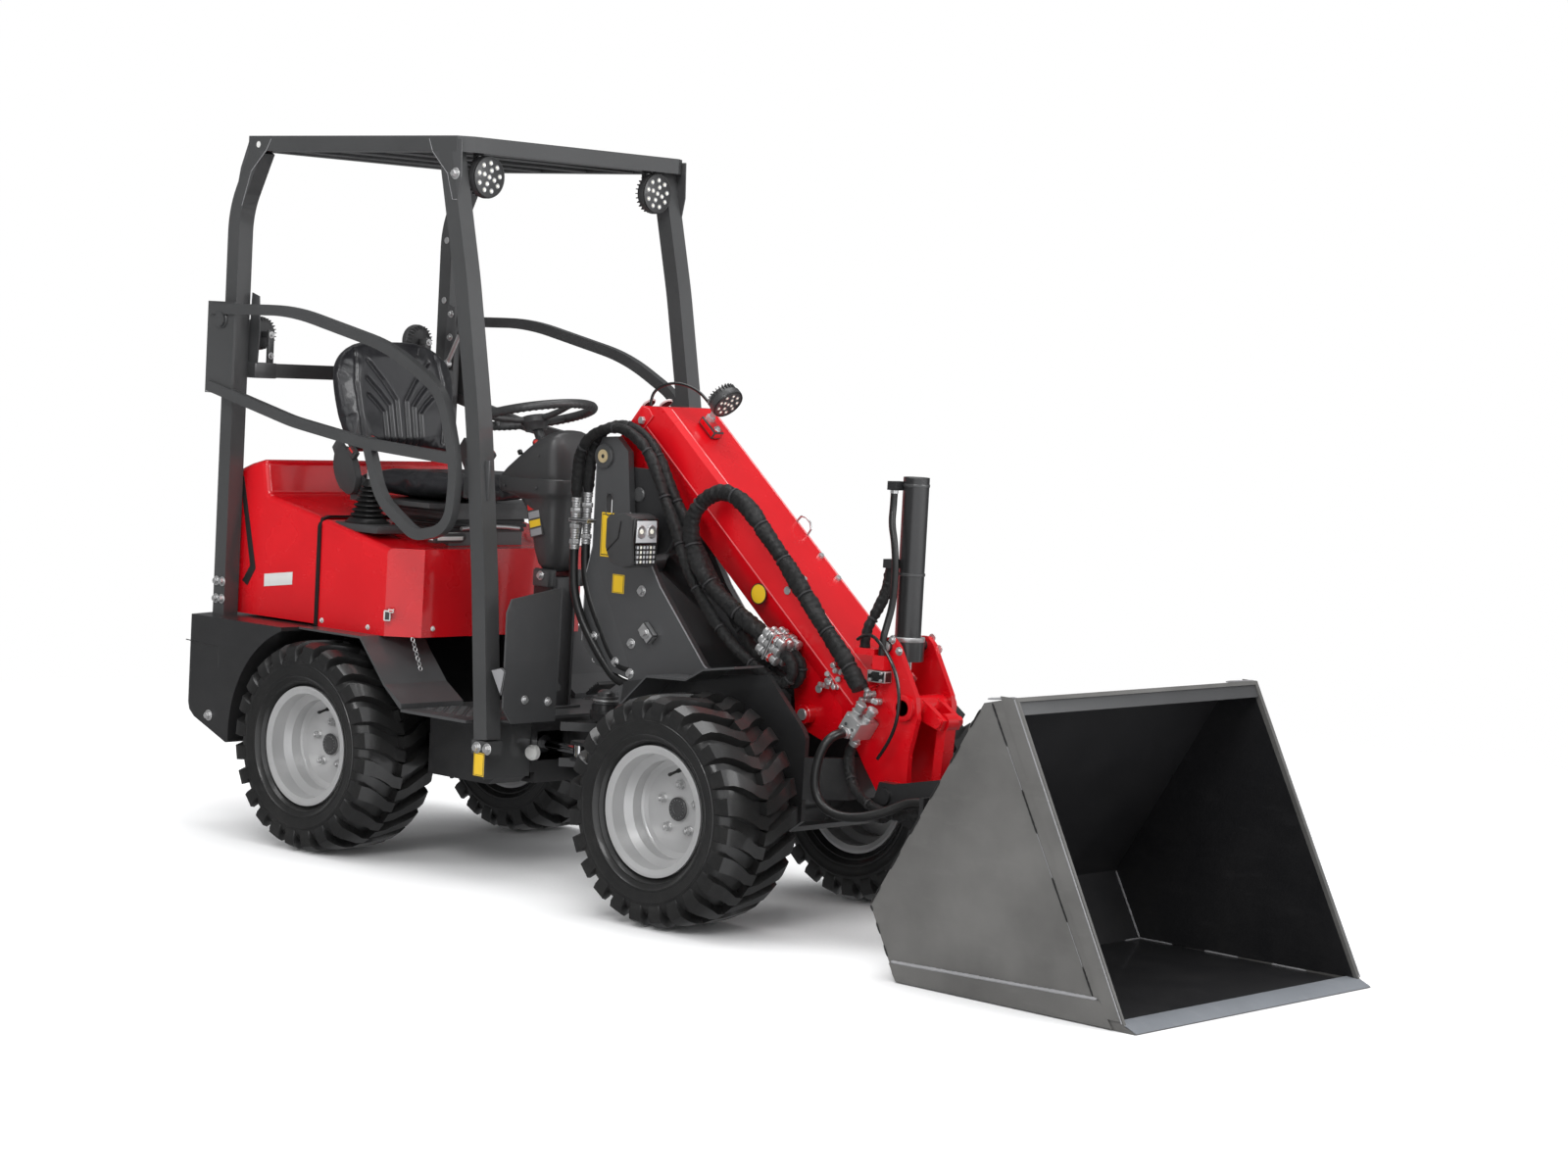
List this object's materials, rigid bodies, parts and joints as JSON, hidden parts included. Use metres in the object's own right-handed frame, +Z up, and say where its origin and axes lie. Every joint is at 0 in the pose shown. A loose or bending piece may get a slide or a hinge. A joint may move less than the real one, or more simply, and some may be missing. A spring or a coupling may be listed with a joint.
{
  "type": "compact articulated telescopic wheel loader",
  "caption": "Compact articulated loader with slide-out boom, roll cage, hinged hood, tilting bucket on a quick hitch, and four driven wheels.",
  "frame": {"origin": "on the ground, in the middle of the machine's length and width", "axes": "+X forward to the bucket, +Y to the driver's left, +Z up"},
  "size_m": [3.398, 1.035, 1.968],
  "materials": {
    "black_paint": "satin",
    "black_plastic": "matt",
    "cast_weight": "painted",
    "grey_paint": "semi-gloss",
    "hose_sleeve": "woven",
    "plain_steel": "zinc plated",
    "red_paint": "gloss",
    "rim_silver": "satin",
    "rod_chrome": "polished",
    "seat_vinyl": "satin",
    "tyre_rubber": "matt"
  },
  "bodies": {
    "rear_frame": {"rear_chassis": "black_paint", "side_tanks": "black_paint", "floor_plate": "black_paint", "counterweight": "cast_weight", "rear_fenders": "black_paint", "engine_block": "cast_weight", "seat_console": "red_paint", "cage_rear_posts": "black_paint", "cage_front_posts": "black_paint", "cage_roof": "black_paint", "work_lights": "black_plastic", "seat_base": "black_paint", "seat_pads": "seat_vinyl", "joystick": "black_plastic", "steering_column": "black_plastic", "rear_axle": "black_paint"},
    "hood": {"engine_hood": "red_paint"},
    "guard_right": {"side_guard_right": "black_paint"},
    "guard_left": {"side_guard_left": "black_paint"},
    "steering_wheel": {"steering_wheel": "black_plastic"},
    "steering_barrel": {"steering_barrel": "black_paint"},
    "steering_rod": {"steering_rod": "rod_chrome"},
    "front_frame": {"front_chassis": "black_paint", "boom_tower": "black_paint", "front_fenders": "black_paint", "headlights": "black_plastic", "front_axle": "black_paint", "tower_couplings": "plain_steel", "hose_tower_near": "hose_sleeve", "hose_tower_far": "hose_sleeve", "hose_drop_near": "hose_sleeve", "hose_drop_far": "hose_sleeve"},
    "lift_barrel": {"lift_barrel": "black_paint"},
    "lift_rod": {"lift_rod": "rod_chrome"},
    "boom": {"boom_outer": "red_paint", "boom_lamp": "black_plastic", "boom_couplings": "plain_steel", "hose_boom": "hose_sleeve", "lamp_cable": "black_plastic"},
    "telescope": {"boom_inner": "red_paint", "boom_head": "red_paint", "tilt_barrel": "black_paint", "valve_block": "plain_steel", "hose_tilt_top": "hose_sleeve", "hose_tilt_low": "hose_sleeve", "hose_hitch_near": "hose_sleeve", "hose_hitch_far": "hose_sleeve"},
    "tilt_rod": {"tilt_rod": "rod_chrome"},
    "tilt_lever": {"tilt_lever": "red_paint"},
    "tilt_link": {"tilt_link": "red_paint"},
    "attachment": {"hitch_frame": "black_paint", "bucket": "grey_paint"},
    "wheel_front_right": {"rim_front_right": "rim_silver", "tyre_front_right": "tyre_rubber"},
    "wheel_front_left": {"rim_front_left": "rim_silver", "tyre_front_left": "tyre_rubber"},
    "wheel_rear_right": {"rim_rear_right": "rim_silver", "tyre_rear_right": "tyre_rubber"},
    "wheel_rear_left": {"rim_rear_left": "rim_silver", "tyre_rear_left": "tyre_rubber"}
  },
  "joints": [
    {"name": "steer", "type": "hinge", "parent": "rear_frame", "child": "front_frame", "pos_m": [-0.464, 0, 0], "axis": [0, 0, 1], "range_deg": [-40, 40]},
    {"name": "steering_barrel_swing", "type": "hinge", "parent": "rear_frame", "child": "steering_barrel", "pos_m": [-0.794, -0.12, 0.35], "axis": [0, 0, 1], "range_deg": [-7.7, 7.7]},
    {"name": "steering_rod_slide", "type": "slide", "parent": "steering_barrel", "child": "steering_rod", "axis": [0.9971, -0.0767, 0], "range_m": [-0.09874, 0.09874]},
    {"name": "boom_lift", "type": "hinge", "parent": "front_frame", "child": "boom", "pos_m": [-0.374, 0, 1.143], "axis": [0, -1, 0], "range_deg": [0, 80], "deforming": ["hose_tower_near", "hose_tower_far"]},
    {"name": "lift_barrel_swing", "type": "hinge", "parent": "front_frame", "child": "lift_barrel", "pos_m": [-0.264, 0, 0.877], "axis": [0, -1, 0], "range_deg": [-0.5, 84.6]},
    {"name": "lift_rod_slide", "type": "slide", "parent": "lift_barrel", "child": "lift_rod", "axis": [0.871, 0, -0.4912], "range_m": [-0.001, 0.36584]},
    {"name": "boom_slide", "type": "slide", "parent": "boom", "child": "telescope", "axis": [0.7627, 0, -0.6468], "range_m": [0, 0.55], "deforming": ["hose_boom"]},
    {"name": "bucket_tilt", "type": "hinge", "parent": "telescope", "child": "attachment", "pos_m": [0.641, 0, 0.363], "axis": [0, 1, 0], "range_deg": [-45, 88], "deforming": ["hose_hitch_near", "hose_hitch_far"]},
    {"name": "tilt_lever_swing", "type": "hinge", "parent": "telescope", "child": "tilt_lever", "pos_m": [0.656, 0, 0.583], "axis": [0, 1, 0], "range_deg": [-45.5, 88.5]},
    {"name": "tilt_link_swing", "type": "hinge", "parent": "tilt_lever", "child": "tilt_link", "pos_m": [0.731, 0, 0.553], "axis": [0, 1, 0], "range_deg": [-88.5, 45.5]},
    {"name": "tilt_rod_slide", "type": "slide", "parent": "telescope", "child": "tilt_rod", "axis": [0.0001, 0, -1], "range_m": [-0.08486, 0.04388]},
    {"name": "hood_lid", "type": "hinge", "parent": "rear_frame", "child": "hood", "pos_m": [-1.621, 0, 0.622], "axis": [0, -1, 0], "range_deg": [0, 60]},
    {"name": "guard_lift_right", "type": "hinge", "parent": "rear_frame", "child": "guard_right", "pos_m": [-1.617, -0.45, 1.449], "axis": [0, -1, 0], "range_deg": [0, 75]},
    {"name": "guard_lift_left", "type": "hinge", "parent": "rear_frame", "child": "guard_left", "pos_m": [-1.617, 0.45, 1.449], "axis": [0, -1, 0], "range_deg": [0, 75]},
    {"name": "steering_wheel_turn", "type": "hinge", "parent": "rear_frame", "child": "steering_wheel", "pos_m": [-0.799, 0, 1.232], "axis": [-0.2419, 0, 0.9703], "continuous": true},
    {"name": "wheel_front_right_roll", "type": "hinge", "parent": "front_frame", "child": "wheel_front_right", "pos_m": [0.206, -0.384, 0.292], "axis": [0, 1, 0], "continuous": true},
    {"name": "wheel_front_left_roll", "type": "hinge", "parent": "front_frame", "child": "wheel_front_left", "pos_m": [0.206, 0.384, 0.292], "axis": [0, 1, 0], "continuous": true},
    {"name": "wheel_rear_right_roll", "type": "hinge", "parent": "rear_frame", "child": "wheel_rear_right", "pos_m": [-1.134, -0.384, 0.292], "axis": [0, 1, 0], "continuous": true},
    {"name": "wheel_rear_left_roll", "type": "hinge", "parent": "rear_frame", "child": "wheel_rear_left", "pos_m": [-1.134, 0.384, 0.292], "axis": [0, 1, 0], "continuous": true}
  ],
  "couplings": [
    {"joint": "steering_barrel_swing", "follows": "steer", "ratio": 0.18},
    {"joint": "steering_rod_slide", "follows": "steer", "m_per_rad": 0.14},
    {"joint": "lift_barrel_swing", "follows": "boom_lift", "ratio": 1.0513},
    {"joint": "lift_rod_slide", "follows": "boom_lift", "m_per_rad": 0.2613},
    {"joint": "tilt_lever_swing", "follows": "bucket_tilt", "ratio": 1},
    {"joint": "tilt_link_swing", "follows": "bucket_tilt", "ratio": -1},
    {"joint": "tilt_rod_slide", "follows": "bucket_tilt", "m_per_rad": -0.0546}
  ]
}
